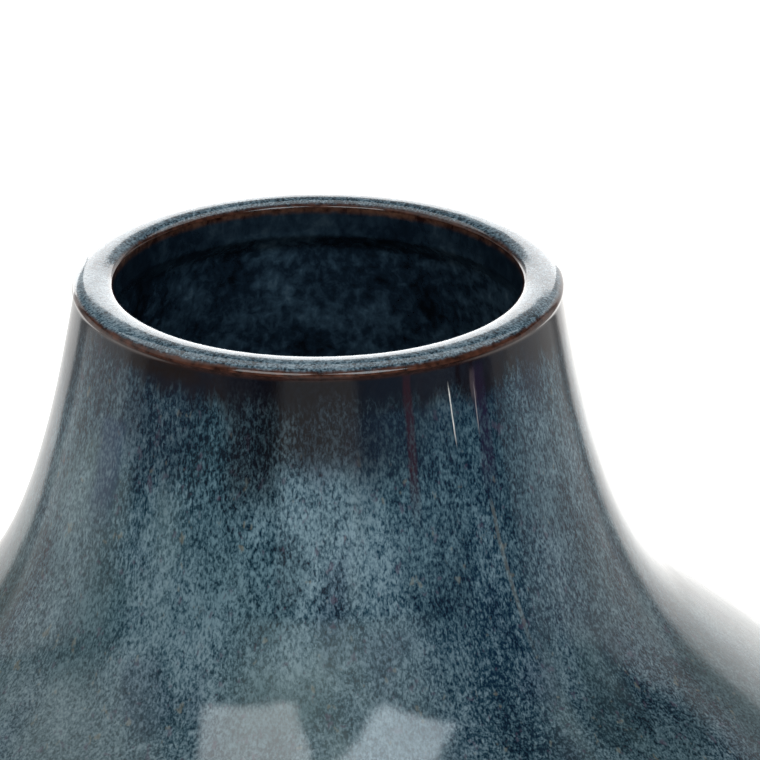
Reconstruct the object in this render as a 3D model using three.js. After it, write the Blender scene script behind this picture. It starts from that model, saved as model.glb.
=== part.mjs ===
// Flower vase: one fired stoneware pot with a thick lip, a flared neck, a round belly and a foot ring,
// its fused coats of reactive glaze, and four felt pads under the foot.
// Millimetres, +Z up. The origin is on the axis, on the surface that the vase stands on.
import * as THREE from "three";

// Overall size
const HEIGHT = 260;
const BELLY_RADIUS = 130.5;
const BELLY_DEPTH = 148.6; // of the widest ring, below the lip's top

// Mouth and lip
const MOUTH_RADIUS = 43;
const LIP_WIDTH = 8.5;
const LIP_BAND_DEPTH = 8; // of the thick band inside the mouth
const LIP_OUTER_DROP = 2; // from the lip's top to its outer break line
const LIP_INNER_DROP = 1.5; // from the lip's top to its inner break line
const LIP_OVERHANG = 0.5; // of the lip past the top of the neck

// Rings of the lip's rounded top: share of its width from the mouth, and share of that side's drop
const LIP_INNER_TURN = { across: 0.12, drop: 0.33 };
const LIP_CREST = { across: 0.47, drop: 0 };
const LIP_BROW = { across: 0.76, drop: 0.17 };
const LIP_OUTER_TURN = { across: 0.93, drop: 0.5 };

// Neck: from the lip to the ring where its flare turns into the round shoulder
const NECK_START_ANGLE = 9.5; // degrees from the vertical
const TURN_RADIUS = 80.5;
const TURN_DEPTH = 78.6;
const TURN_ANGLE = 48.5; // degrees from the vertical

// How long each curve of the outline holds its end directions, as shares of its length
const NECK_TOP_HOLD = 0.5;
const NECK_TURN_HOLD = 0.22;
const BELLY_HOLD = 0.43; // of the shoulder and of the belly's underside

// Foot
const FOOT_RADIUS = 66;
const FOOT_RING_WIDTH = 10;
const FOOT_RING_HEIGHT = 6;
const FOOT_CHAMFER = 1;
const FOOT_SHOULDER = 1.6; // step from the foot ring's wall out to the start of the belly
const BASE_ANGLE = -50; // degrees from the vertical, inwards, at the start of the belly

// Walls
const WALL = 6.5; // of the fired and glazed pot
const FLOOR = 8;
const FLOOR_FILLET = 8; // height over which the wall turns into the floor, inside
const BAND_RUN = 4; // height over which the lip's band thins to the wall

// Glaze
const COAT = 0.8;
const COAT_GAP = 0.3; // kept between solids that lie on each other
const BREAK_GAP = 0.4; // bare line between the coats at a break line

// Felt pads
const PAD_RADIUS = 4;
const PAD_THICKNESS = 1.5;
const PAD_COUNT = 4;
const PAD_TURN = 45; // degrees from +X to the first pad

// Facets
const SEGMENTS = 40;
const PAD_SEGMENTS = 20;
const NECK_STEPS = 8;
const SHOULDER_STEPS = 5;
const BASE_STEPS = 6;
const FILLET_STEPS = 2;

const ringBottom = PAD_THICKNESS;
const ringTop = ringBottom + FOOT_RING_HEIGHT;
const clayDepth = COAT + COAT_GAP; // of the clay under the glazed surface

const point = (radius, z) => new THREE.Vector2(radius, z);

/** The unit vector that runs outwards and down, at this angle from the vertical. */
function downAt(degrees) {
  const angle = THREE.MathUtils.degToRad(degrees);
  return point(Math.sin(angle), -Math.cos(angle));
}

/** A smooth curve between two points that leaves and arrives along the given unit directions. */
function curveBetween(start, leaving, end, arriving, steps, startHold, endHold) {
  const length = start.distanceTo(end);
  const curve = new THREE.CubicBezierCurve(
    start,
    start.clone().addScaledVector(leaving, length * startHold),
    end.clone().addScaledVector(arriving, -length * endHold),
    end,
  );
  return curve.getPoints(steps);
}

/** The points moved along their normals, to the left of the direction that the line runs in. */
function offsetLine(points, distance) {
  return points.map((here, i) => {
    const before = points[Math.max(i - 1, 0)];
    const after = points[Math.min(i + 1, points.length - 1)];
    const along = after.clone().sub(before).normalize();
    return point(here.x - along.y * distance, here.y + along.x * distance);
  });
}

/** The line's radius at a height, on its first stretch that spans it. */
function radiusAt(line, z) {
  const i = line.findIndex((p, k) => k > 0 && (line[k - 1].y - z) * (p.y - z) <= 0);
  const [low, high] = [line[i - 1], line[i]];
  return THREE.MathUtils.mapLinear(z, low.y, high.y, low.x, high.x);
}

/** The outer glazed surface, from under the lip down to the top of the foot ring. */
function outerLine() {
  const straightDown = point(0, -1);
  const neckTop = point(MOUTH_RADIUS + LIP_WIDTH - LIP_OVERHANG, HEIGHT - LIP_OUTER_DROP - BREAK_GAP);
  const turn = point(TURN_RADIUS, HEIGHT - TURN_DEPTH);
  const belly = point(BELLY_RADIUS, HEIGHT - BELLY_DEPTH);
  const base = point(FOOT_RADIUS + FOOT_SHOULDER, ringTop);
  const flare = downAt(TURN_ANGLE);
  const start = downAt(NECK_START_ANGLE);
  const neck = curveBetween(neckTop, start, turn, flare, NECK_STEPS, NECK_TOP_HOLD, NECK_TURN_HOLD);
  const shoulder = curveBetween(turn, flare, belly, straightDown, SHOULDER_STEPS, BELLY_HOLD, BELLY_HOLD);
  const inwards = downAt(BASE_ANGLE);
  const under = curveBetween(belly, straightDown, base, inwards, BASE_STEPS, BELLY_HOLD, BELLY_HOLD);
  return [...neck, ...shoulder.slice(1), ...under.slice(1)];
}

/** A ring of the lip's top, on the side of the crest with this drop at its edge. */
function lipRing(ring, edgeDrop) {
  return point(MOUTH_RADIUS + LIP_WIDTH * ring.across, HEIGHT - edgeDrop * ring.drop);
}

/** The lip's top, from its inner break line over the crest and down to its outer break line. */
function lipLine() {
  return [
    point(MOUTH_RADIUS, HEIGHT - LIP_INNER_DROP),
    lipRing(LIP_INNER_TURN, LIP_INNER_DROP),
    lipRing(LIP_CREST, LIP_OUTER_DROP),
    lipRing(LIP_BROW, LIP_OUTER_DROP),
    lipRing(LIP_OUTER_TURN, LIP_OUTER_DROP),
    point(MOUTH_RADIUS + LIP_WIDTH, HEIGHT - LIP_OUTER_DROP),
  ];
}

/** The same line at a depth under the lip's surface, which keeps the break lines' heights. */
function lipUnder(depth) {
  const [innerEdge, , crest, brow, edge, outerEdge] = lipLine();
  const slant = depth * Math.SQRT1_2;
  return [
    point(innerEdge.x + depth, innerEdge.y + COAT - depth),
    point(crest.x, crest.y - depth),
    point(brow.x, brow.y - depth),
    point(edge.x - slant, edge.y - slant),
    point(outerEdge.x - depth, outerEdge.y),
  ];
}

/** The inner glazed surface, from the middle of the floor up to the mouth. */
function innerLine(outer) {
  const floorZ = ringTop + FLOOR;
  const bandBottom = point(MOUTH_RADIUS, HEIGHT - LIP_BAND_DEPTH);
  const wall = offsetLine(outer, -WALL).reverse();
  const stepBottom = bandBottom.y - BAND_RUN;
  const free = wall.filter((p) => p.y > floorZ + FLOOR_FILLET && p.y < stepBottom);
  const start = free[0];
  const rising = free[1].clone().sub(start).normalize();
  const corner = start.clone().addScaledVector(rising, (floorZ - start.y) / rising.y);
  const floorEdge = point(corner.x - corner.distanceTo(start), floorZ);
  const fillet = new THREE.QuadraticBezierCurve(floorEdge, corner, start);
  return [
    point(0, floorZ),
    ...fillet.getPoints(FILLET_STEPS),
    ...free.slice(1),
    point(radiusAt(wall, stepBottom), stepBottom),
    bandBottom,
    point(MOUTH_RADIUS, HEIGHT - LIP_INNER_DROP - BREAK_GAP),
  ];
}

/** A closed skin of the coat's thickness under this line, whose open side is on the left. */
function coatUnder(line) {
  return [...line, ...offsetLine(line, -COAT).reverse()];
}

/** A coat that starts on the axis, whose ends on it stay there. */
function coatFromAxis(line) {
  const lower = offsetLine(line, -COAT);
  lower[0].x = 0;
  return [...line, ...lower.reverse()];
}

/** A closed solid turned round the Z axis from its outline, which runs either way round. */
function turned(name, outline, material) {
  const points = outline.map((p) => point(Math.max(p.x, 0), p.y));
  const area = THREE.ShapeUtils.area(points);
  const ordered = area > 0 ? points : points.reverse();
  const startsOnAxis = ordered.findIndex((p, i) => p.x === 0 && ordered.at(i - 1).x === 0);
  const onAxis = startsOnAxis >= 0;
  const ring = onAxis
    ? [...ordered.slice(startsOnAxis), ...ordered.slice(0, startsOnAxis)]
    : [...ordered, ordered[0]];
  const geometry = new THREE.LatheGeometry(ring, SEGMENTS);
  geometry.rotateX(Math.PI / 2);
  const mesh = new THREE.Mesh(geometry, material);
  mesh.name = name;
  return mesh;
}

const finish = (color, roughness) => new THREE.MeshStandardMaterial({ color, roughness, metalness: 0 });
const clay = finish(0x4a3226, 0.85);
const blueGlaze = finish(0x4a626e, 0.12);
const paleGlaze = finish(0x7d959c, 0.12);
const navyGlaze = finish(0x121c28, 0.15);
const brownGlaze = finish(0x2f2520, 0.3);
const felt = finish(0x55504a, 0.95);

const outer = outerLine();
const inner = innerLine(outer);

/** The clay pot: every glazed surface less its coat, with a blunt outer lip, and the bare foot ring. */
function bodyOutline() {
  const clayInside = offsetLine(inner, -clayDepth);
  clayInside[0].x = 0;
  const clayOutside = offsetLine(outer, -clayDepth);
  const ringOuter = FOOT_RADIUS;
  const ringInner = FOOT_RADIUS - FOOT_RING_WIDTH;
  const recessZ = ringTop - clayDepth;
  return [
    ...clayInside.slice(0, -1),
    ...lipUnder(clayDepth).slice(0, -1),
    ...clayOutside,
    point(ringOuter, ringTop),
    point(ringOuter, ringBottom + FOOT_CHAMFER),
    point(ringOuter - FOOT_CHAMFER, ringBottom),
    point(ringInner + FOOT_CHAMFER, ringBottom),
    point(ringInner, ringBottom + FOOT_CHAMFER),
    point(ringInner, recessZ),
    point(0, recessZ),
  ];
}

/** The thin coat in the hollow under the pot, which stops short of the foot ring. */
function baseOutline() {
  const top = ringTop - clayDepth - COAT_GAP;
  const edge = FOOT_RADIUS - FOOT_RING_WIDTH - COAT_GAP;
  return [point(0, top), point(0, top - COAT), point(edge - COAT, top - COAT), point(edge, top)];
}

/** One felt disc under the foot ring. */
function footPad(index) {
  const pad = new THREE.Mesh(
    new THREE.CylinderGeometry(PAD_RADIUS, PAD_RADIUS, PAD_THICKNESS - COAT_GAP, PAD_SEGMENTS),
    felt,
  );
  const angle = THREE.MathUtils.degToRad(PAD_TURN + (360 / PAD_COUNT) * index);
  const ringMiddle = FOOT_RADIUS - FOOT_RING_WIDTH / 2;
  pad.name = `foot_pad_${index + 1}`;
  pad.rotation.x = Math.PI / 2;
  pad.position.set(
    ringMiddle * Math.cos(angle),
    ringMiddle * Math.sin(angle),
    (PAD_THICKNESS - COAT_GAP) / 2,
  );
  return pad;
}

const vase = new THREE.Group();
vase.add(
  turned("stoneware_body", bodyOutline(), clay),
  turned("outer_glaze", coatUnder(outer), blueGlaze),
  turned("lip_glaze", [...lipLine(), ...lipUnder(COAT).reverse()], paleGlaze),
  turned("liner_glaze", coatFromAxis(inner), navyGlaze),
  turned("base_glaze", baseOutline(), brownGlaze),
);
for (let index = 0; index < PAD_COUNT; index += 1) vase.add(footPad(index));

export default vase;
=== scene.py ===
# %% [markdown]
# # A stoneware flower vase
# The vase is one fired pot under four fused coats of glaze, with felt pads under its foot. Every visible
# piece is a surface of revolution, so the lesson is about three things: working out a good outline,
# turning it round an axis as one numpy grid, and building a reactive glaze from noise.
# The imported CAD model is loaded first. It gives each piece its place and the whole vase its size.

import math

import bpy
import numpy as np
from mathutils import Matrix, Quaternion, Vector


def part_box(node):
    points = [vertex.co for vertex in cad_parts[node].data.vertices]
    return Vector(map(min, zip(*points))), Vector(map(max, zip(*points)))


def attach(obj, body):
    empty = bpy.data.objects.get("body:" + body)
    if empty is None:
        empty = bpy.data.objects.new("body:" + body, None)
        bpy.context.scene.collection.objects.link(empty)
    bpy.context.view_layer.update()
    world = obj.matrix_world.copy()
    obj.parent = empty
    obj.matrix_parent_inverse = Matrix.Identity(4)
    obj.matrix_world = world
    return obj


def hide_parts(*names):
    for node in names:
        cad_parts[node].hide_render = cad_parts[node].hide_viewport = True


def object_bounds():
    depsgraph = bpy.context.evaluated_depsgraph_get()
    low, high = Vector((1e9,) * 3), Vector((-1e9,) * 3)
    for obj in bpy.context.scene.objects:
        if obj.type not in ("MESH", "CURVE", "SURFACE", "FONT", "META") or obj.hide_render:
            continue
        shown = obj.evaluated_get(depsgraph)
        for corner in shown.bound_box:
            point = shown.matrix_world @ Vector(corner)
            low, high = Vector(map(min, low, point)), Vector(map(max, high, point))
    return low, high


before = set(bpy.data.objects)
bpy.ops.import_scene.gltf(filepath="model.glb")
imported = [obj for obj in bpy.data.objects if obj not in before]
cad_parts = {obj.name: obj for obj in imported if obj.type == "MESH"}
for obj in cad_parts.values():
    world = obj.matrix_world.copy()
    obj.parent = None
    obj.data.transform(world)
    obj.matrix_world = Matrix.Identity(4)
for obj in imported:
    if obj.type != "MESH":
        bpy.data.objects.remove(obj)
cad_low, cad_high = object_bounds()
print("CAD box in mm:", [round(1000 * v, 1) for v in cad_high - cad_low])

# %% [markdown]
# ## Camera
# The camera comes first, so that every later render can be judged. It looks down at the mouth from in
# front, with a long lens from about 0.75 m, so the lip shows as a wide ellipse and the belly runs out of
# the picture. It is placed from the top of the vase, so it follows the vase if the height changes.

# %% Camera
CAMERA_BACK = 0.6983  # metres in front of the axis
CAMERA_RISE = 0.2737  # metres above the top of the vase
CAMERA_TILT = 66.875  # degrees from looking straight down
CAMERA_YAW = -1.064
CAMERA_LENS, CAMERA_SENSOR = 169.43, 36  # mm

camera = bpy.data.objects.new("camera", bpy.data.cameras.new("camera"))
camera.location = (0, -CAMERA_BACK, cad_high.z + CAMERA_RISE)
camera.rotation_euler = (math.radians(CAMERA_TILT), 0, math.radians(CAMERA_YAW))
camera.data.lens = CAMERA_LENS
camera.data.sensor_width = CAMERA_SENSOR
camera.data.clip_start = 0.01
bpy.context.collection.objects.link(camera)
bpy.context.scene.camera = camera
print("camera stands", round(camera.location.length, 3), "m from the origin")

# %% [markdown]
# ## Turning a grid
# A potter's wheel makes a surface of revolution: each point of the outline becomes a ring. The same idea
# as arrays is short. Radius and height are tables with one row per ring and one column per step round the
# axis, so a ring may also be a little uneven, as a hand-finished one is. A row of zero radius is a pole
# and becomes one vertex, so that nothing is left open there.

# %% Turn a closed skin from tables of radius and height
MM = 0.001  # in metres
SHARP_ANGLE = 50  # degrees; a fold steeper than this is shaded as an edge


def turned(name, radius, height):
    """A closed skin: x = radius cos(turn), y = radius sin(turn), z = height, in mm.

    A row that lies on the axis closes to a single vertex. If neither end lies on it, the last row
    joins the first, so the skin is a ring.
    """
    rows, columns = radius.shape
    turn = np.linspace(0, 2 * np.pi, columns, endpoint=False)
    points = np.stack([radius * np.cos(turn), radius * np.sin(turn), height], axis=-1) * MM
    poles = [radius[0].max() == 0, radius[-1].max() == 0]
    index = np.arange(rows * columns).reshape(rows, columns)
    index[0] = index[0, 0] if poles[0] else index[0]
    index[-1] = index[-1, 0] if poles[1] else index[-1]
    below = index[:-1] if any(poles) else index
    above = index[1:] if any(poles) else np.roll(index, -1, axis=0)
    quads = np.stack([below, np.roll(below, -1, 1), np.roll(above, -1, 1), above], axis=-1).reshape(-1, 4)
    at_low_pole = quads[:, 0] == quads[:, 1]
    at_high_pole = quads[:, 2] == quads[:, 3]
    faces = [quads[~at_low_pole & ~at_high_pole]]
    faces += [quads[at_low_pole][:, 1:], quads[at_high_pole][:, :3]]
    used, corners = np.unique(np.concatenate([f.ravel() for f in faces]), return_inverse=True)
    points = points.reshape(-1, 3)[used]
    sizes = np.concatenate([np.full(len(f), f.shape[1]) for f in faces])
    starts = np.concatenate([[0], np.cumsum(sizes)[:-1]])
    # Six times the volume: each face's first corner dotted with its fan of triangles. If it is negative,
    # the faces look inwards, and the corners of each are put in reverse order.
    a, b, c = (points[corners[starts + k]] for k in range(3))
    d = points[corners[starts + sizes - 1]]
    volume = (a * (np.cross(b, c) + np.where(sizes[:, None] == 4, np.cross(c, d), 0))).sum()
    if volume < 0:
        spot = np.arange(len(corners)) - np.repeat(starts, sizes)
        corners = corners[np.repeat(starts + sizes - 1, sizes) - spot]
    mesh = bpy.data.meshes.new(name)
    mesh.vertices.add(len(points))
    mesh.vertices.foreach_set("co", points.ravel())
    mesh.loops.add(len(corners))
    mesh.loops.foreach_set("vertex_index", corners.astype(np.int32))
    mesh.polygons.add(len(sizes))
    mesh.polygons.foreach_set("loop_start", starts.astype(np.int32))
    mesh.polygons.foreach_set("use_smooth", np.ones(len(sizes), dtype=bool))
    mesh.update(calc_edges=True)
    mesh.validate()
    mesh.set_sharp_from_angle(angle=math.radians(SHARP_ANGLE))
    piece = bpy.data.objects.new(name, mesh)
    bpy.context.collection.objects.link(piece)
    print(name, "has", len(sizes), "faces")
    return piece


def stands_for(piece, node, material):
    """The piece rides on the vase's body, takes the CAD node's place and wears this material."""
    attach(piece, "root")
    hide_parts(node)
    piece.data.materials.append(material)


# %% [markdown]
# ## The outline
# The outside runs from the lip down a concave neck, over a turn into the round shoulder, past the widest
# ring and in to the foot. Three cubic curves that share their end directions give one smooth line with
# few numbers, which is how a designer would draw it. The numbers are the same as in the CAD model.

# %% Sizes of the vase, in mm
HEIGHT = 1000 * cad_high.z
BELLY_RADIUS = 1000 * cad_high.x
BELLY_Z = HEIGHT - 148.6
MOUTH_RADIUS = 43.0
LIP_RADIUS = 51.5
NECK_RADIUS = 51.0
BREAK_Z = HEIGHT - 2.0  # where the lip's coat meets the outer coat
INNER_BREAK_Z = HEIGHT - 1.5  # where it meets the liner
TURN_RADIUS, TURN_Z = 80.5, HEIGHT - 78.6  # where the hollow of the neck turns into the round shoulder
NECK_ANGLE, TURN_ANGLE, FOOT_ANGLE = 9.5, 48.5, -50  # of the outline from the vertical, in degrees
WALL_FOOT_RADIUS = 67.6  # where the outline ends, just above the bare ring
FOOT_RADIUS, RING_WIDTH = 66.0, 10.0
RING_BOTTOM, RING_TOP = 1.5, 7.5
WALL, FLOOR_Z = 6.5, 15.5
COAT = 0.8  # thickness of the glaze
GAP = 0.3  # between glaze and clay
CLAY_DEPTH = COAT + GAP  # of the clay under the glazed surface
UNEVEN = 0.13  # how far a hand-finished ring wanders from a true circle


# %% Smooth lines from few points
FINE_STEPS = 4000  # into which a line is cut before its corners are softened
CROWDING = 0.88  # of points at a line's ends: 0 is even spacing, and 1 brings the end steps to nothing
# Each handle's share of the curve's length: at the neck's two ends, and on the near-round belly curves.
NECK_HOLD, TURN_HOLD, ROUND_HOLD = 0.5, 0.22, 0.43


def toward(degrees):
    """The unit direction that runs outwards and down, at this angle from the vertical."""
    return np.array([math.sin(math.radians(degrees)), -math.cos(math.radians(degrees))])


def curve(start, leaving, end, arriving, start_hold, end_hold, count):
    """A cubic Bezier curve: its handles follow the end directions for a share of its length."""
    start, end = np.array(start), np.array(end)
    length = np.linalg.norm(end - start)
    t = np.linspace(0, 1, count)[:, None]
    handles = start + leaving * length * start_hold, end - arriving * length * end_hold
    return (
        (1 - t) ** 3 * start
        + 3 * (1 - t) ** 2 * t * handles[0]
        + 3 * (1 - t) * t**2 * handles[1]
        + t**3 * end
    )


def spaced(line, shares):
    """The line's points at these shares of its length."""
    along = np.concatenate([[0], np.cumsum(np.linalg.norm(np.diff(line, axis=0), axis=1))])
    return np.stack([np.interp(shares * along[-1], along, line[:, k]) for k in (0, 1)], axis=-1)


def close_at_ends(count):
    """Shares from 0 to 1 whose steps are small at both ends: s less a sine of one turn."""
    s = np.linspace(0, 1, count)
    return s - CROWDING * np.sin(2 * np.pi * s) / (2 * np.pi)


def softened(line, reach):
    """The line in fine equal steps, each point averaged with those within reach mm, so corners go round."""
    even = spaced(line, np.linspace(0, 1, FINE_STEPS))
    step = np.linalg.norm(even[1] - even[0])
    half = max(1, round(reach / step))
    weights = np.hanning(2 * half + 3)[1:-1]
    weights /= weights.sum()
    ends = [2 * even[0] - even[half:0:-1], even, 2 * even[-1] - even[-2 : -half - 2 : -1]]
    long = np.concatenate(ends)
    return np.stack([np.convolve(long[:, k], weights, "valid") for k in (0, 1)], axis=-1)


def beside(line, distance):
    """The line moved along its normals, to the left of the direction that it runs in."""
    along = np.gradient(line, axis=0)
    along /= np.linalg.norm(along, axis=1)[:, None]
    return line + distance * np.stack([-along[:, 1], along[:, 0]], axis=-1)


neck_top, neck_foot = (NECK_RADIUS, BREAK_Z), (TURN_RADIUS, TURN_Z)
widest, wall_foot = (BELLY_RADIUS - UNEVEN, BELLY_Z), (WALL_FOOT_RADIUS, RING_TOP)
neck = curve(neck_top, toward(NECK_ANGLE), neck_foot, toward(TURN_ANGLE), NECK_HOLD, TURN_HOLD, 400)
shoulder = curve(neck_foot, toward(TURN_ANGLE), widest, toward(0), ROUND_HOLD, ROUND_HOLD, 300)
under = curve(widest, toward(0), wall_foot, toward(FOOT_ANGLE), ROUND_HOLD, ROUND_HOLD, 300)
outline = np.concatenate([neck, shoulder[1:], under[1:]])
print("outline is", round(np.linalg.norm(np.diff(outline, axis=0), axis=1).sum()), "mm long")

# %% [markdown]
# ## Slightly uneven rings
# A thrown pot is never a perfect lathe turning, and a glossy glaze shows it: the edges of reflections
# wander. A few sine waves round the axis, whose strength changes slowly with height, give that without
# any random numbers. The waves are added to the radius, so every ring stays closed.

# %% Waves round the axis
COLUMNS = 320
turn = np.linspace(0, 2 * np.pi, COLUMNS, endpoint=False)


def waves(rows, phase=0.0):
    """Sum of sines of whole numbers of waves round the axis, each drifting as the rows go down."""
    down = np.linspace(0, 1, rows)[:, None]
    slow = np.sin(2 * turn + 5 * down + phase) + 0.7 * np.sin(3 * turn - 9 * down + 2 * phase)
    fine = 0.35 * np.sin(7 * turn + 21 * down + phase) + 0.2 * np.sin(12 * turn - 34 * down)
    return (slow + fine) / 2.25


def rings(line, columns=COLUMNS):
    """Tables of radius and height that carry one line round the axis."""
    return np.repeat(line[:, :1], columns, axis=1), np.repeat(line[:, 1:], columns, axis=1)


def bell(distance, reach):
    """A smooth hump of height 1: e to the power of minus the square of distance over reach."""
    return np.exp(-((distance / reach) ** 2))


print("waves stay within", round(float(np.abs(waves(200)).max()), 2))

# %% [markdown]
# ## Outer coat
# The coat of glaze on the outside is a skin 0.8 mm thick. Where it meets the lip it rises over a small
# roll, and at the foot it ends in a thick, wavy, rolled edge, because molten glaze creeps down and stops
# above the bare clay. The rolled edge is made by letting the last rows follow a height that waves.

# %% Outer coat
EDGE_Z = 9.4  # mean height of the glaze's lower edge
EDGE_WANDER = 1.0
EDGE_RUN = 16.0  # height over which the rows come to follow the edge
LIP_ROLL, LIP_ROLL_REACH = 0.5, 0.7  # how far the roll under the lip stands out from the neck, and down it
BEAD, BEAD_AT, BEAD_REACH = 0.55, 2.0, 1.5  # rise of the rolled edge, its distance from the end, its reach
TUCK, TUCK_REACH = 0.75, 0.55  # how far the very end turns in
CALM_DEPTH = 12  # mm below the break line over which the unevenness sets in

skin = spaced(softened(outline, reach=0.8), close_at_ends(count=235))
skin[:, 0] += LIP_ROLL * bell(BREAK_Z - skin[:, 1], LIP_ROLL_REACH)
back = beside(skin, -COAT)[::-5]
edge_lift = EDGE_Z - RING_TOP + EDGE_WANDER * waves(1, 1.3)


def follow_edge(line):
    """The line's tables, whose lowest rows slide along the surface to the wavy edge."""
    radius, height = rings(line)
    share = np.clip((RING_TOP + EDGE_RUN - line[:, 1:]) / EDGE_RUN, 0, 1) ** 2
    slope = (np.gradient(line[:, 0]) / np.gradient(line[:, 1]))[:, None]
    return radius + share * edge_lift * slope, height + share * edge_lift


skin_radius, skin_height = follow_edge(skin)
back_radius, back_height = follow_edge(back)
from_edge = np.linalg.norm(skin - skin[-1], axis=1)[:, None]
skin_radius += BEAD * bell(from_edge - BEAD_AT, BEAD_REACH) - TUCK * bell(from_edge, TUCK_REACH)
skin_radius += UNEVEN * waves(len(skin)) * np.clip((BREAK_Z - skin[:, 1:]) / CALM_DEPTH, 0, 1)
skin_radius = np.minimum(skin_radius, BELLY_RADIUS)
outer_coat = turned(
    "outer_coat", np.concatenate([skin_radius, back_radius]), np.concatenate([skin_height, back_height])
)

# %% [markdown]
# ## Lip coat
# The lip is a thick roll, round on top, with its crest midway between the mouth and the outer edge.
# Glaze runs thin on both edges, and the clay's colour shows there as a brown line. The inner side is a
# quarter of an ellipse. The outer side is almost one too, but a power just over two keeps it flatter near
# the crest and rounder at the edge.

# %% Lip coat
CREST_RADIUS = 47.0
OUTER_POWER = 2.1
LIP_UNEVEN = 0.05  # mm

inner_turn = np.linspace(0, np.pi / 2, 24)
inner_side = np.stack(
    [
        CREST_RADIUS - (CREST_RADIUS - MOUTH_RADIUS) * np.cos(inner_turn),
        INNER_BREAK_Z + (HEIGHT - INNER_BREAK_Z) * np.sin(inner_turn),
    ],
    axis=-1,
)
across = np.sin(np.linspace(0, np.pi / 2, 60)[1:])
outer_side = np.stack(
    [
        CREST_RADIUS + (LIP_RADIUS - CREST_RADIUS) * across,
        BREAK_Z + (HEIGHT - BREAK_Z) * np.sqrt(1 - across**OUTER_POWER),
    ],
    axis=-1,
)
lip_top = np.concatenate([inner_side, outer_side])


def under_lip(depth):
    """The lip's top brought down: each height shrinks towards its break line, by depth at the crest."""
    base = np.where(lip_top[:, 0] < CREST_RADIUS, INNER_BREAK_Z, BREAK_Z)
    height = base + (lip_top[:, 1] - base) * (1 - depth / (HEIGHT - base))
    above = [MOUTH_RADIUS, CREST_RADIUS, LIP_RADIUS]
    radius = np.interp(lip_top[:, 0], above, [MOUTH_RADIUS + depth, CREST_RADIUS, LIP_RADIUS - depth])
    return np.stack([radius, height], axis=-1)


lip_radius, lip_height = rings(np.concatenate([lip_top, under_lip(COAT)[::-1]]))
above_break = np.clip((lip_height - BREAK_Z) / (HEIGHT - BREAK_Z), 0, 1)
lip_height = lip_height + above_break * LIP_UNEVEN * (waves(1, 0.6) - 1)
lip_coat = turned("lip_coat", lip_radius, lip_height)

# %% [markdown]
# ## Liner
# Inside, a straight thick band hangs under the lip, then the wall steps back and follows the outside at
# 6.5 mm until it turns into a flat floor. Building the inside from the same outline keeps the wall even
# everywhere. One softened line makes both turns look thrown rather than cut.

# %% Liner
BAND_BOTTOM, BAND_RUN, FILLET = HEIGHT - 8, 4.0, 8.0
LINER_UNEVEN, CALM_RADIUS = 0.2, 40  # mm; inside this radius the unevenness fades towards the middle

wall = beside(outline, -WALL)
wall = wall[(wall[:, 1] < BAND_BOTTOM - BAND_RUN) & (wall[:, 1] > FLOOR_Z + FILLET)]
rising = wall[-1] - wall[-2]
rising = rising / rising[1]
corner = wall[-1] + rising * (FLOOR_Z - wall[-1, 1])
floor_edge = corner - [np.linalg.norm(corner - wall[-1]), 0]
t = np.linspace(0, 1, 40)[1:, None]
fillet = (1 - t) ** 2 * wall[-1] + 2 * t * (1 - t) * corner + t**2 * floor_edge
inside = np.concatenate(
    [[[MOUTH_RADIUS, INNER_BREAK_Z], [MOUTH_RADIUS, BAND_BOTTOM]], wall, fillet, [[0, FLOOR_Z]]]
)
liner_skin = spaced(softened(inside, reach=1.1), close_at_ends(count=210))
liner_skin[-1, 0] = 0
liner_back = beside(liner_skin, COAT)[::5]
liner_back = np.concatenate([liner_back[:-1], [[0, FLOOR_Z - COAT]]])
liner_radius, liner_height = rings(liner_skin[::-1])
calm = np.clip(liner_skin[::-1, :1] / CALM_RADIUS, 0, 1)
liner_radius = liner_radius + LINER_UNEVEN * waves(len(liner_skin), 2.0) * calm
hidden_radius, hidden_height = rings(liner_back)
liner_coat = turned(
    "liner_coat",
    np.concatenate([liner_radius, hidden_radius]),
    np.concatenate([liner_height, hidden_height]),
)

# %% [markdown]
# ## Clay pot, base coat and felt
# The clay lies 1.1 mm under every glazed surface and shows only at the foot, where the ring is left bare
# so that the pot doesn't stick to the kiln shelf. The hollow under the pot has a thin brown wash. Four
# felt discs keep the grit of the ring off a table. All are turned from outlines of their own.

# %% Clay pot
clay_inside = beside(liner_skin, CLAY_DEPTH)[::-1][::3]
clay_inside[0, 0] = 0
clay_outside = beside(skin, -CLAY_DEPTH)[::2]
clay_outside = clay_outside[(clay_outside[:, 1] < BREAK_Z - 1.2) & (clay_outside[:, 1] > RING_TOP + 1)]
ring_inner = FOOT_RADIUS - RING_WIDTH
hollow_top = RING_TOP - CLAY_DEPTH
foot = np.array(
    [
        [FOOT_RADIUS + 0.4, RING_TOP + 0.6],
        [FOOT_RADIUS, RING_TOP - 0.4],
        [FOOT_RADIUS, RING_BOTTOM],
        [ring_inner, RING_BOTTOM],
        [ring_inner, hollow_top],
        [0, hollow_top],
    ]
)
foot = spaced(softened(foot, reach=0.9), np.linspace(0, 1, 150) ** 1.3)
foot[-1, 0] = 0
clay_line = np.concatenate([clay_inside[:-1], under_lip(CLAY_DEPTH)[::4], clay_outside, foot])
clay_radius, clay_height = rings(clay_line, 240)
clay_pot = turned("clay_pot", clay_radius, clay_height)

# %% Base coat
BASE_TOP = hollow_top - GAP
BASE_BOTTOM = BASE_TOP - COAT
BASE_RADIUS = ring_inner - GAP
base_line = np.array(
    [
        [0, BASE_TOP],
        [BASE_RADIUS, BASE_TOP],
        [BASE_RADIUS, BASE_TOP - 0.5],
        [BASE_RADIUS - 0.8, BASE_BOTTOM],
        [0, BASE_BOTTOM],
    ]
)
base_line = spaced(softened(base_line, reach=0.3), np.linspace(0, 1, 140))
base_line[[0, -1], 0] = 0
base_radius, base_height = rings(base_line, 200)
base_coat = turned("base_coat", base_radius, base_height)

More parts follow.
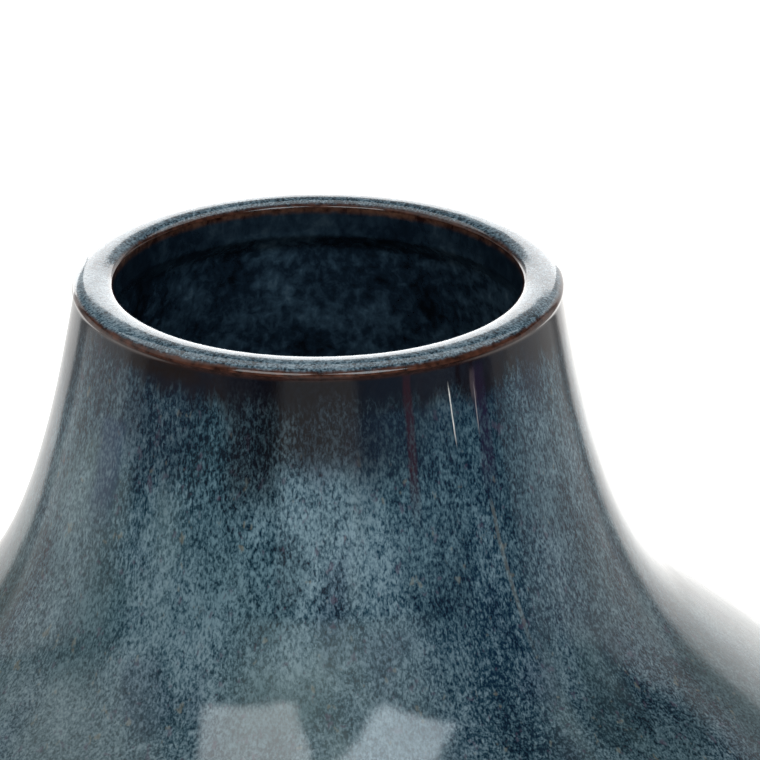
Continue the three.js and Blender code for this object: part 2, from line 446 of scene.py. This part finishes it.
# %% Felt pads
PAD_THICKNESS = 1.2
PAD_COLUMNS = 96
FUZZ, FUZZ_WAVES = 0.04, 17  # how far the side wanders, in mm, and how often round the pad
PAD_CORE = 3  # mm radius that stays even


def felt_pad(node):
    """A disc with round edges, turned and then moved to the CAD pad; its sides are softly uneven."""
    low, high = (1000 * np.array(v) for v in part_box(node))
    middle = (low + high) / 2
    reach = (high[0] - low[0]) / 2
    bottom, top = low[2], low[2] + PAD_THICKNESS
    line = np.array([[0, bottom], [reach, bottom], [reach, top], [0, top]])
    line = spaced(softened(line, reach=0.45), np.linspace(0, 1, 60))
    line[[0, -1], 0] = 0
    radius, height = rings(line, PAD_COLUMNS)
    round_pad = np.linspace(0, 2 * np.pi, PAD_COLUMNS, endpoint=False)
    fuzz = FUZZ * (np.sin(FUZZ_WAVES * round_pad + middle[0]) - 1)
    pad = turned(node + "_felt", radius + (radius > PAD_CORE) * fuzz, height)
    pad.data.transform(Matrix.Translation(tuple(middle * [MM, MM, 0])))
    return pad


PAD_NODES = ["foot_pad_1", "foot_pad_2", "foot_pad_3", "foot_pad_4"]
pads = [felt_pad(node) for node in PAD_NODES]

# %% [markdown]
# ## A short way to write materials
# A procedural material is a chain of small nodes, and making each by hand hides the idea. This helper
# adds one node per call and returns its output, so that a material reads like a formula. Patterns read
# Object coordinates, because every piece sits at the origin and its coordinates are the vase's own.

# %% Helper for node trees
def paint(code):
    """A colour from six hex digits, as the linear numbers that shaders use."""
    parts = np.array([int(code[k : k + 2], 16) for k in (0, 2, 4)]) / 255
    linear = np.where(parts <= 0.04045, parts / 12.92, ((parts + 0.055) / 1.055) ** 2.4)
    return (*linear.tolist(), 1.0)


class Recipe:
    """The nodes of a material or a world, added by calls that return their output."""

    def __init__(self, owner):
        self.owner = owner
        owner.use_nodes = True
        self.tree = owner.node_tree
        self.shader = self.tree.nodes.get("Principled BSDF")
        self.place = self.node("ShaderNodeTexCoord").outputs["Object"]

    def feed(self, socket, value):
        """Links an output to the socket, or sets a value on it. Six hex digits are a colour."""
        if isinstance(value, bpy.types.NodeSocket):
            self.tree.links.new(value, socket)
        else:
            socket.default_value = paint(value) if isinstance(value, str) else value

    def node(self, kind, settings=(), **inputs):
        """A node with settings, and inputs by place (in0, in1) that take a value or an output."""
        made = self.tree.nodes.new(kind)
        for key, value in dict(settings).items():
            setattr(made, key, value)
        for key, value in inputs.items():
            self.feed(made.inputs[int(key[2:])], value)
        return made

    def math(self, operation, a, b=0.0, c=0.0):
        """One operation on numbers."""
        return self.node("ShaderNodeMath", {"operation": operation}, in0=a, in1=b, in2=c).outputs[0]

    def vector(self, operation, a, **inputs):
        """One operation on vectors."""
        return self.node("ShaderNodeVectorMath", {"operation": operation}, in0=a, **inputs).outputs[0]

    def axes(self, place):
        """The x, y and z of a place."""
        return self.node("ShaderNodeSeparateXYZ", in0=place).outputs

    def off_axis(self, place):
        """Distance from the z axis: the root of x squared plus y squared."""
        x, y, _ = self.axes(place)
        return self.math("SQRT", self.math("MULTIPLY_ADD", x, x, self.math("MULTIPLY", y, y)))

    def between(self, value, low, high, start=0.0, end=1.0):
        """Goes smoothly from start to end while the value goes from low to high."""
        kind, smooth = "ShaderNodeMapRange", {"interpolation_type": "SMOOTHSTEP"}
        return self.node(kind, smooth, in0=value, in1=low, in2=high, in3=start, in4=end).outputs[0]

    def window(self, value, low, full, fading, gone):
        """Rises from 0 to 1 between low and full, and falls back to 0 between fading and gone."""
        fall = self.between(value, fading, gone, 1.0, 0.0)
        return self.math("MULTIPLY", self.between(value, low, full), fall)

    def noise(self, place, scale, detail=2.0, roughness=0.5, distortion=0.0):
        """Cloudy noise, mostly from 0.25 to 0.75, with this many features per metre of its place."""
        made = self.node("ShaderNodeTexNoise", {"noise_dimensions": "3D"})
        self.feed(made.inputs["Vector"], place)
        numbers = {"Scale": scale, "Detail": detail, "Roughness": roughness, "Distortion": distortion}
        for key, value in numbers.items():
            self.feed(made.inputs[key], value)
        return made.outputs[0]

    def swing(self, noise, spread):
        """The noise moved to swing round zero: spread times the noise, less half the spread."""
        return self.math("MULTIPLY_ADD", noise, spread, -spread / 2)

    def scaled(self, place, size=(1, 1, 1), shift=(0, 0, 0)):
        """The place times size along each axis, then shifted, so that layers don't repeat."""
        return self.node("ShaderNodeMapping", in0=place, in1=shift, in3=size).outputs[0]

    def mix(self, share, a, b, blend="MIX"):
        """Colour a turning into colour b."""
        kinds = {"data_type": "RGBA", "blend_type": blend}
        return self.node("ShaderNodeMix", kinds, in0=share, in6=a, in7=b).outputs[2]

    def ramp(self, value, *stops):
        """Colours along a value: each stop is its place and its colour."""
        made = self.node("ShaderNodeValToRGB", in0=value)
        band = made.color_ramp.elements
        while len(band) < len(stops):
            band.new(0.5)
        for element, (spot, colour) in zip(band, stops):
            element.position = spot
            element.color = paint(colour) if isinstance(colour, str) else colour
        return made.outputs[0]

    def finish(self, colour, roughness, relief, **uniform):
        """Links colour and roughness, stacks bumps (height, depth in metres), sets the uniform values."""
        self.feed(self.shader.inputs["Base Color"], colour)
        self.feed(self.shader.inputs["Roughness"], roughness)
        normal = None
        for height, depth in relief:
            bump = self.node("ShaderNodeBump")
            bump.inputs["Distance"].default_value = depth
            self.feed(bump.inputs["Height"], height)
            if normal:
                self.feed(bump.inputs["Normal"], normal)
            normal = bump.outputs[0]
        self.feed(self.shader.inputs["Normal"], normal)
        for key, value in uniform.items():
            self.shader.inputs[key.replace("_", " ")].default_value = value
        print(self.owner.name, "has", len(self.tree.nodes), "nodes")
        return self.owner


# %% [markdown]
# ## Where a point lies on the pot
# Three things steer the glazes: how deep a point lies under the lip, its heading round the axis, and its
# place on a drum, a cylinder round the same axis. Noise read on the drum makes runs that follow the wall
# down, because a point keeps its direction from the axis all the way. Flecks come from noise stretched
# along Z: on the steep neck they show as short vertical dashes, and on the flat shoulder as dots, as real
# ones do, because melting glaze drags them only where it can flow.

# %% Steering values
DRUM_RADIUS = 0.06  # in metres
FLECK_STOPS = (0.33, 0.42, 0.52, 0.67)  # where the four tones lie on the summed noise
# The summed noises: features per metre, detail, roughness, distortion, scale along Z, weight.
FLECK_NOISES = [
    (1900, 4.0, 0.68, 0.35, 0.42, 1.15),
    (640, 2.0, 0.55, 0.3, 0.45, 0.35),
    (75, 3.0, 0.55, 0.4, 0.55, 0.38),
]


def depth_under_lip(recipe):
    """How deep a point lies under the top of the lip, in mm: the height less z."""
    return recipe.math("MULTIPLY_ADD", recipe.axes(recipe.place)[2], -1 / MM, HEIGHT)


def heading_round(recipe):
    """The heading round the axis in degrees: 0 in front, and growing to the right as seen from there."""
    x, y, _ = recipe.axes(recipe.place)
    radians = recipe.math("ARCTAN2", x, recipe.math("MULTIPLY", y, -1.0))
    return recipe.math("MULTIPLY", radians, 180 / math.pi)


def place_on_drum(recipe):
    """The point at the same height and heading, but at the drum's radius from the axis."""
    x, y, z = recipe.axes(recipe.place)
    level = recipe.node("ShaderNodeCombineXYZ", in0=x, in1=y).outputs[0]
    lift = recipe.node("ShaderNodeCombineXYZ", in2=z).outputs[0]
    drum = recipe.vector("SCALE", recipe.vector("NORMALIZE", level), in3=DRUM_RADIUS)
    return recipe.vector("ADD", drum, in1=lift)


def flecked(recipe, shift, tones, balance):
    """Short dashes of dark, mid and light glaze: three noises, weighted and summed, less a balance."""
    layers, value = [], 0.0
    for scale, detail, roughness, distortion, along_z, weight in FLECK_NOISES:
        place = recipe.scaled(recipe.place, (1, 1, along_z), shift)
        layers.append(recipe.noise(place, scale, detail, roughness, distortion))
        value = recipe.math("MULTIPLY_ADD", layers[-1], weight, value)
    colour = recipe.ramp(recipe.math("SUBTRACT", value, balance), *zip(FLECK_STOPS, tones))
    fine, _, cloud = layers
    return colour, fine, cloud


print("lip's top at", HEIGHT, "mm, break line at", BREAK_Z, "mm")

# %% [markdown]
# ## The blue reactive glaze
# A reactive glaze separates as it melts. A dark clear part sinks and pale crystals float, which gives
# dense navy flecks in slate blue. Under the lip the glaze has run off and stays thin, so the brown clay
# shows through, with a ragged lower border. Here and there it runs on as dark tongues, or as thin drips
# of burgundy and milky white. The runs are listed one by one, since a potter would place them by hand too.
# The glaze is painted in layers, and each function below lays one more over the colour that it is given.

# %% Runs of the blue glaze
# Heading, drift per mm of depth and half width, all in degrees, then start and end in mm under the lip,
# colour and strength.
RUNS = [
    # The next two rows, a brown patch on the left under the lip and a dark navy tongue left of the front,
    # are partly dark thin glaze and partly painted dark reflections.
    (-38, 0.0, 15.0, 1, 7, "1a110c", 0.85),  # dark patches and tongues close under the lip
    (-15.5, 0.05, 8.0, 1, 34, "070a14", 0.95),
    (0, 0.0, 17.0, 1, 25, "0b090c", 0.95),
    (15, 0.03, 10.0, 1, 28, "08121e", 0.85),
    (34, 0.0, 34.0, 10, 90, "0a2742", 0.24),  # wide casts, deep blue, teal and pale
    (-38, 0.0, 26.0, 30, 120, "1c3a44", 0.18),
    (2, 0.0, 22.0, 50, 170, "929e9a", 0.14),
    (19.8, 0.0, 1.3, 1, 36, "32161e", 0.6),  # burgundy, near black and purple drips
    (32.5, 0.0, 0.9, 1, 10, "0e080e", 0.85),
    (36.2, 0.0, 0.9, 1, 10, "0e080e", 0.85),
    (38, 0.0, 2.4, 4, 34, "261a32", 0.55),
    (29.3, 0.06, 0.2, 7, 20, "e0ddd8", 0.95),  # milky threads
    (36.5, 0.0, 0.16, 8, 19, "a39c9c", 0.75),
    (36.3, 0.0, 1.0, 5, 12, "5c5256", 0.5),
    (34.5, 0.08, 0.6, 32, 66, "86847a", 0.3),
    (-50, 0.0, 5.0, 18, 42, "0b2a4c", 0.6),
    (-104, 0.03, 7.0, 1, 30, "080c18", 0.75),  # round the sides and the back
    (-140, -0.03, 2.0, 1, 28, "30141c", 0.6),
    (98, 0.02, 8.0, 1, 26, "0a1626", 0.7),
    (132, -0.02, 2.2, 1, 30, "261a32", 0.6),
    (137, 0.05, 0.25, 9, 24, "c4c0bc", 0.8),
]
RUN_WANDER = 2.6  # degrees in all
RUN_START = 1.5  # half the depth over which a run sets in, in mm


def with_runs(glaze, colour, depth, heading, drum, fine):
    """Lays the runs over the colour; the fine flecks tear their edges."""
    wobble = glaze.swing(glaze.noise(glaze.scaled(drum, shift=(0, 0, 5)), 170, 3.0, 0.6), RUN_WANDER)
    torn_edge = glaze.between(fine, 0.36, 0.66, 1.0, 0.62)
    for at, drift, half, start, end, tone, strength in RUNS:
        centre = glaze.math("MULTIPLY_ADD", depth, drift, at)
        centre = glaze.math("MULTIPLY_ADD", wobble, min(1.0, half / 2), centre)
        off = glaze.math("ABSOLUTE", glaze.math("SUBTRACT", heading, centre))
        side = glaze.between(off, half * 0.4, half, 1.0, 0.0)
        run = glaze.window(depth, start - RUN_START, start + RUN_START, end * 0.6 + start * 0.4, end)
        mask = glaze.math("MULTIPLY", glaze.math("MULTIPLY", side, run), strength)
        colour = glaze.mix(glaze.math("MULTIPLY", mask, torn_edge), colour, tone)
    return colour


print(len(RUNS), "runs, down to", max(end for _, _, _, _, end, _, _ in RUNS), "mm under the lip")

# %% Blue glaze
BLUE_TONES = ("061d2d", "284653", "546c77", "788f98")
GLAZE_IOR = 1.5
FLECK_DEPTH = 0.000008  # of the flecks' relief, in metres
PEEL_DEPTH = 0.0001  # of the wide, soft relief called orange peel


def misted_with_painted_light(glaze, colour, depth, drum):
    """Pale floating crystals in patches, made paler lower down as painted light from above on the shoulder;
    the glaze also greys as it thickens on the shoulder.
    """
    mist_and_painted_light = glaze.noise(glaze.scaled(drum, (1, 1, 0.5)), 34, 3.0, 0.6, 0.6)
    # Painted light: the pale crystals grow from the neck down to the shoulder, standing for light from
    # above that falls more on the shoulder.
    mist_and_painted_light = glaze.math("ADD", mist_and_painted_light, glaze.between(depth, 20.0, 80.0, -0.06, 0.05))
    colour = glaze.mix(glaze.between(mist_and_painted_light, 0.42, 0.64, 0.0, 0.28), colour, "778a88")
    return glaze.mix(glaze.between(depth, 25.0, 90.0), colour, (1.0, 0.92, 0.89, 1.0), "MULTIPLY")


def with_casts(glaze, colour):
    """Teal and violet casts, and stray spots of violet and tan."""

    def pattern(shift, scale, *texture):
        return glaze.noise(glaze.scaled(glaze.place, (1, 1, 0.6), shift), scale, 2.0, *texture)

    cast = pattern((1, 0, 0), 46)
    colour = glaze.mix(glaze.between(cast, 0.44, 0.62, 0.0, 0.5), colour, "2f5a5c", "SOFT_LIGHT")
    colour = glaze.mix(glaze.between(cast, 0.44, 0.34, 0.0, 0.35), colour, "4c4668", "SOFT_LIGHT")
    spots = pattern((2, 1, 0), 480, 0.6, 0.2)
    colour = glaze.mix(glaze.between(spots, 0.63, 0.71, 0.0, 0.5), colour, "4e4050")
    tan = pattern((5, 2, 0), 420, 0.6, 0.2)
    return glaze.mix(glaze.between(tan, 0.66, 0.73, 0.0, 0.45), colour, "7d7868")


def thinned(glaze, colour, depth, heading, drum, fine):
    """Dark glaze over brown clay close under the lip, then dark tongues below its ragged border."""
    wide = glaze.noise(glaze.scaled(drum, (1, 1, 0.12), (3, 0, 0)), 34, 2.0, 0.5)
    ragged = glaze.noise(glaze.scaled(drum, (1, 1, 0.25), (0, 3, 0)), 520, 3.0, 0.65)
    reach = glaze.math("MULTIPLY_ADD", wide, 24.0, -4.5)
    reach = glaze.math("ADD", reach, glaze.between(heading, -75.0, -45.0, -4.0, 0.0))
    reach = glaze.math("ADD", reach, glaze.swing(ragged, 10.0))
    thin = glaze.between(glaze.math("SUBTRACT", depth, reach), -3.0, 3.6, 0.95, 0.0)
    bare = glaze.noise(glaze.scaled(drum, (1, 1, 0.15)), 160, 3.0, 0.6)
    colour = glaze.mix(thin, colour, glaze.ramp(bare, (0.3, "0b090c"), (0.7, "1f150f")))
    tongue = glaze.noise(glaze.scaled(drum, (1, 1, 0.06), (7, 7, 0)), 52, 2.0, 0.5)
    torn = glaze.math("MULTIPLY_ADD", fine, 24.0, glaze.math("MULTIPLY", tongue, 66.0))
    tongues = glaze.between(glaze.math("SUBTRACT", depth, torn), -42.0, -22.0, 0.5, 0.0)
    return glaze.mix(tongues, colour, "0c1626")


def with_borders(glaze, colour, depth, cloud):
    """The brown break line on the roll under the lip, and the navy hem where glaze gathers at the foot."""
    stray = glaze.noise(glaze.place, 700, 3.0, 0.6)
    brown = glaze.between(glaze.math("ADD", depth, glaze.swing(stray, 0.7)), 2.4, 3.4, 1.0, 0.0)
    colour = glaze.mix(brown, colour, glaze.ramp(stray, (0.3, "190c08"), (0.7, "38201a")))
    hem = glaze.between(glaze.math("MULTIPLY_ADD", cloud, 14.0, depth), HEIGHT - 10.0, HEIGHT - 2.0)
    return glaze.mix(hem, colour, "141c2a")


def glossy(glaze, fine):
    """The roughness of a bright glaze: a little duller on its pale flecks."""
    return glaze.between(fine, 0.35, 0.65, 0.05, 0.09)


def blue_glaze():
    glaze = Recipe(bpy.data.materials.new("blue_reactive_glaze"))
    depth, heading, drum = depth_under_lip(glaze), heading_round(glaze), place_on_drum(glaze)
    patch = glaze.noise(glaze.scaled(drum, (1, 1, 0.6), (2, 2, 0)), 19, 2.0)
    balance = glaze.math("MULTIPLY_ADD", patch, -0.25, 0.592)
    balance = glaze.math("ADD", balance, glaze.between(depth, 2.0, 38.0, 0.055, -0.01))
    colour, fine, cloud = flecked(glaze, (0.3, 0.1, 0.2), BLUE_TONES, balance)
    colour = with_casts(glaze, misted_with_painted_light(glaze, colour, depth, drum))
    colour = thinned(glaze, colour, depth, heading, drum, fine)
    colour = with_runs(glaze, colour, depth, heading, drum, fine)
    colour = with_borders(glaze, colour, depth, cloud)
    peel = glaze.noise(glaze.scaled(glaze.place, (1, 1, 0.6)), 95, 2.0, 0.5)
    relief = [(peel, PEEL_DEPTH), (fine, FLECK_DEPTH)]
    return glaze.finish(colour, glossy(glaze, fine), relief, IOR=GLAZE_IOR)


stands_for(outer_coat, "outer_glaze", blue_glaze())

# %% [markdown]
# ## Pale lip, navy liner and brown wash
# The lip wears the same glaze laid thicker, so it is paler, and it breaks to brown at both edges, where
# the radius from the axis says how near the edge is. One small slit in it is a pinhole, where a bubble
# broke late. The liner is a plain navy with soft mottling. The wash under the foot is satin brown.

# %% Lip glaze
LIP_TONES = ("16262f", "3f545f", "657a86", "8c9ca3")
LIP_BALANCE = 0.49
PINHOLE_HEADING, PINHOLE_RADIUS = 67.0, 46.7  # degrees, mm


def lip_glaze():
    glaze = Recipe(bpy.data.materials.new("pale_lip_glaze"))
    colour, fine, _ = flecked(glaze, (4, 1, 2), LIP_TONES, LIP_BALANCE)
    stray = glaze.swing(glaze.noise(glaze.place, 500, 3.0, 0.6), 0.7)
    out = glaze.math("MULTIPLY_ADD", glaze.off_axis(glaze.place), 1 / MM, stray)
    inner_edge = glaze.between(out, MOUTH_RADIUS + 0.1, MOUTH_RADIUS + 1.3, 1.0, 0.0)
    outer_edge = glaze.between(out, LIP_RADIUS - 1.1, LIP_RADIUS - 0.3)
    brown = glaze.ramp(glaze.noise(glaze.place, 620, 2.0), (0.3, "210f0a"), (0.7, "523226"))
    colour = glaze.mix(glaze.math("MAXIMUM", inner_edge, outer_edge), colour, brown)
    aside = glaze.math("ABSOLUTE", glaze.math("SUBTRACT", heading_round(glaze), PINHOLE_HEADING))
    beyond = glaze.math("ABSOLUTE", glaze.math("SUBTRACT", out, PINHOLE_RADIUS))
    narrow = glaze.between(aside, 0.3, 0.8, 0.9, 0.0)
    slit = glaze.math("MULTIPLY", narrow, glaze.between(beyond, 0.5, 1.2, 1.0, 0.0))
    colour = glaze.mix(slit, colour, "1a1614")
    peel = glaze.noise(glaze.place, 120, 2.0, 0.5)
    return glaze.finish(colour, glossy(glaze, fine), [(peel, 0.00007), (fine, 0.000006)], IOR=GLAZE_IOR)


stands_for(lip_coat, "lip_glaze", lip_glaze())


# %% Liner, wash, clay and felt
NAVY_TONES = ("0c1219", "1b2a38", "384e5e", "566c7a")
NAVY_STOPS = (0.40, 0.52, 0.64, 0.74)


def navy_glaze():
    glaze = Recipe(bpy.data.materials.new("navy_liner_glaze"))
    depth = depth_under_lip(glaze)
    mottle = glaze.noise(glaze.scaled(glaze.place, (1, 1, 0.8)), 420, 4.0, 0.62, 0.3)
    bloom = glaze.noise(glaze.scaled(glaze.place, (1, 1, 0.9), (1, 2, 0)), 60, 3.0, 0.55, 0.3)
    value = glaze.math("MULTIPLY_ADD", bloom, 0.6, glaze.math("MULTIPLY", mottle, 0.5))
    colour = glaze.ramp(value, *zip(NAVY_STOPS, NAVY_TONES))
    # Painted shade: the band under the lip and the step below it are darkened towards black navy, fading
    # out 11 mm down, for the ring of shadow under the thick lip.
    colour = glaze.mix(glaze.between(depth, 6.0, 11.0, 0.75, 0.0), colour, "0c1620")
    stray = glaze.swing(glaze.noise(glaze.place, 500, 3.0, 0.6), 1.0)
    brown = glaze.between(glaze.math("ADD", depth, stray), 1.8, 3.2, 1.0, 0.0)
    colour = glaze.mix(brown, colour, glaze.ramp(mottle, (0.35, "28140f"), (0.7, "644638")))
    rough = glaze.between(mottle, 0.3, 0.7, 0.08, 0.2)
    peel = glaze.noise(glaze.place, 90, 2.0, 0.5)
    return glaze.finish(colour, rough, [(peel, 0.00016)], IOR=GLAZE_IOR)


def brown_wash():
    glaze = Recipe(bpy.data.materials.new("brown_base_wash"))
    streak = glaze.noise(glaze.place, 130, 4.0, 0.6, 1.2)
    colour = glaze.ramp(streak, (0.3, "1c1512"), (0.55, "33251f"), (0.75, "54392c"))
    rough = glaze.between(streak, 0.3, 0.7, 0.25, 0.5)
    return glaze.finish(colour, rough, [(streak, 0.00015)], IOR=GLAZE_IOR)


def bare_clay():
    clay = Recipe(bpy.data.materials.new("bare_stoneware"))
    grit = clay.noise(clay.place, 1400, 3.0, 0.65)
    tone = clay.noise(clay.place, 90, 3.0, 0.55, 0.4)
    iron = clay.noise(clay.scaled(clay.place, shift=(3, 3, 3)), 520, 1.0)
    colour = clay.ramp(tone, (0.3, "5a3f30"), (0.55, "76553f"), (0.75, "8d6a50"))
    colour = clay.mix(clay.between(grit, 0.35, 0.65, 0.35, 0.0), colour, "3c2a20")
    colour = clay.mix(clay.between(iron, 0.70, 0.74), colour, "20150f")
    return clay.finish(colour, clay.between(grit, 0.3, 0.7, 0.75, 0.95), [(grit, 0.00018), (tone, 0.0002)])


def grey_felt():
    felt = Recipe(bpy.data.materials.new("grey_felt"))
    fibre = felt.noise(felt.scaled(felt.place, (1, 2.2, 1)), 2600, 4.0, 0.7, 1.5)
    tuft = felt.noise(felt.place, 600, 2.0, 0.6)
    colour = felt.ramp(fibre, (0.3, "3f3b37"), (0.55, "5d5852"), (0.75, "7d776f"))
    colour = felt.mix(felt.between(tuft, 0.4, 0.7, 0.0, 0.35), colour, "46413c")
    rough = felt.between(fibre, 0.3, 0.7, 0.85, 1.0)
    return felt.finish(colour, rough, [(fibre, 0.00025), (tuft, 0.0003)], Sheen_Weight=0.35)


stands_for(liner_coat, "liner_glaze", navy_glaze())
stands_for(base_coat, "base_glaze", brown_wash())
stands_for(clay_pot, "stoneware_body", bare_clay())
felt_finish = grey_felt()
for pad, node in zip(pads, PAD_NODES):
    stands_for(pad, node, felt_finish)

# %% [markdown]
# ## Floor and light
# A glossy dark pot is lit by what it mirrors, so the studio is planned as a ring of reflections. The pale
# floor is bright behind and beside the vase. Towards the viewer it mirrors a dim room, which keeps the
# dark flecks deep, with one paler strip straight ahead. Two large soft lights hang high in front. Three
# cards behind, one low, one high and one on the left, light the rim of the lip. Only glossy rays see the
# ring: to the camera the air is plain white and the floor almost white.

# %% Floor
RING = [  # heading in degrees, 0 towards the viewer, 90 left and 180 behind, with the brightness there
    (0, 0.42), (16, 0.42), (17, 0.1), (21, 0.03), (28, 0.04), (31, 0.12),
    (82, 0.12), (83, 0.34), (91, 0.4), (93, 0.68), (128, 0.75),
    (131, 0.3), (138, 0.3), (140, 1.1), (188, 1.1), (198, 1.8), (208, 1.8), (219, 1.2),
    (221, 0.34), (226, 0.36), (229, 0.72), (266, 0.62), (269, 0.42), (277, 0.36),
    (278, 0.12), (284, 0.05), (299, 0.05), (303, 0.13), (343, 0.1), (344, 0.42), (360, 0.42),
]
FLOOR_REACH = 6  # metres to each side


def area_light(name, place, aim, width, height, radiance, colour=(1, 1, 1), roll=0):
    """A rectangular light that faces its aim, rolled by degrees. Its power is radiance x area x pi."""
    light = bpy.data.lights.new(name, "AREA")
    light.shape = "RECTANGLE"
    light.size = width
    light.size_y = height
    light.energy = radiance * width * height * math.pi
    light.color = colour
    lamp = bpy.data.objects.new(name, light)
    lamp.location = place
    facing = (Vector(aim) - Vector(place)).to_track_quat("-Z", "Y")
    lamp.rotation_euler = (facing @ Quaternion((0, 0, 1), math.radians(roll))).to_euler()
    lamp.visible_camera = False
    bpy.context.collection.objects.link(lamp)


def mirror_ring(recipe, x, y):
    """The brightness that the ring gives at the heading of a direction or a point of the floor."""
    turns = recipe.math("MULTIPLY_ADD", recipe.math("ARCTAN2", x, y), 0.5 / math.pi, 0.5)
    return recipe.ramp(turns, *[(degrees / 360, (glow, glow, glow, 1)) for degrees, glow in RING])


floor_mesh = bpy.data.meshes.new("floor")
corners = [(-1, -1, 0), (1, -1, 0), (1, 1, 0), (-1, 1, 0)]
floor_mesh.from_pydata([FLOOR_REACH * Vector(corner) for corner in corners], [], [(0, 1, 2, 3)])
floor = bpy.data.objects.new("floor", floor_mesh)
bpy.context.collection.objects.link(floor)

# The matt floor glows a little more with distance, so that it stays as white as the air above it.
stage = Recipe(bpy.data.materials.new("pale_floor"))
glow_by_distance = stage.between(stage.off_axis(stage.place), 0.5, 1.8, 0.45, 1.0)
stage.feed(stage.shader.inputs["Emission Strength"], glow_by_distance)
plain = {"Base Color": (0.86, 0.86, 0.86, 1), "Roughness": 0.9, "Emission Color": (1, 1, 1, 1)}
for key, value in plain.items():
    stage.feed(stage.shader.inputs[key], value)
x, y, _ = stage.axes(stage.place)
mirrored = stage.node("ShaderNodeEmission", in0=(1.0, 0.985, 0.965, 1), in1=mirror_ring(stage, x, y))
matt, glow = stage.shader.outputs[0], mirrored.outputs[0]
glossy_ray = stage.node("ShaderNodeLightPath").outputs["Is Glossy Ray"]
choose = stage.node("ShaderNodeMixShader", in0=glossy_ray, in1=matt, in2=glow)
stage.feed(stage.tree.nodes["Material Output"].inputs["Surface"], choose.outputs[0])
floor_mesh.materials.append(stage.owner)
print("floor reaches", FLOOR_REACH, "m to each side")

# %% Lights
COOL, PALE = (0.82, 0.93, 1.0), (0.96, 0.99, 1.0)
area_light("soft_light_right", (0.51, -1.01, 1.37), (0.02, -0.05, 0.18), 0.64, 0.80, 5.8, COOL, 20)
area_light("soft_light_left", (-0.50, -1.08, 1.37), (-0.02, -0.05, 0.18), 0.80, 0.86, 4.2, PALE)
area_light("back_card_low", (0.06, 1.5, 0.235), (0.06, 0, 0.235), 0.92, 0.47, 3.4)
area_light("back_card_high", (0.06, 1.5, 0.71), (0.06, 0, 0.71), 0.92, 0.48, 2.8)
area_light("back_card_left", (-0.62, 1.4, 0.3), (-0.3, 0.7, 0.3), 0.45, 0.6, 3.0)
area_light("floor_wash", (0, 1.1, 2.0), (0, 0.8, 0), 2.6, 1.0, 1.6)

# %% Air: white for the camera, a dim even fill for matt light, a studio ring for reflections
MATT_FILL, DIMMEST = 0.17, 0.06

air = Recipe(bpy.data.worlds.new("studio"))
bpy.context.scene.world = air.owner
x, y, z = air.axes(air.node("ShaderNodeTexCoord").outputs["Generated"])
elevation = air.math("MULTIPLY", air.math("ARCSINE", z), 180 / math.pi)
heading = air.math("MULTIPLY", air.math("ARCTAN2", x, y), 180 / math.pi)  # 0 behind, 90 right
# The ring stands on the horizon: 18 degrees high behind, 11 elsewhere, with a hill on the right.
ring_top = air.between(air.math("ABSOLUTE", heading), 40.0, 42.0, 18.0, 11.0)
ring_top = air.math("MULTIPLY_ADD", air.window(heading, 24.0, 34.0, 58.0, 76.0), 10.0, ring_top)
in_ring = air.between(air.math("SUBTRACT", elevation, ring_top), -2.0, 4.0, 1.0, 0.0)
ring_glow = air.math("MULTIPLY", mirror_ring(air, x, y), in_ring)
# A pale wall on the left, and a sky behind that fades upwards.
wall_side = air.window(heading, -130.0, -105.0, -80.0, -50.0)
wall_glow = air.math("MULTIPLY", wall_side, air.between(elevation, 8.0, 24.0, 0.0, 0.7))
behind = air.window(heading, -26.0, -10.0, 25.0, 50.0)
sky_glow = air.math("MULTIPLY", behind, air.between(elevation, 18.0, 42.0, 1.2, 0.0))
mirror_glow = air.math("MAXIMUM", ring_glow, wall_glow)
mirror_glow = air.math("MAXIMUM", mirror_glow, air.math("MAXIMUM", sky_glow, DIMMEST))
rays = air.node("ShaderNodeLightPath").outputs
strength = air.math("MULTIPLY", mirror_glow, rays["Is Glossy Ray"])
strength = air.math("MULTIPLY_ADD", rays["Is Diffuse Ray"], MATT_FILL, strength)
strength = air.math("ADD", strength, rays["Is Camera Ray"])
background = air.tree.nodes["Background"].inputs
air.feed(background["Strength"], strength)
air.feed(background["Color"], (1, 1, 1, 1))
bpy.context.scene.view_settings.view_transform = "Standard"
print("the air has", len(air.tree.nodes), "nodes")
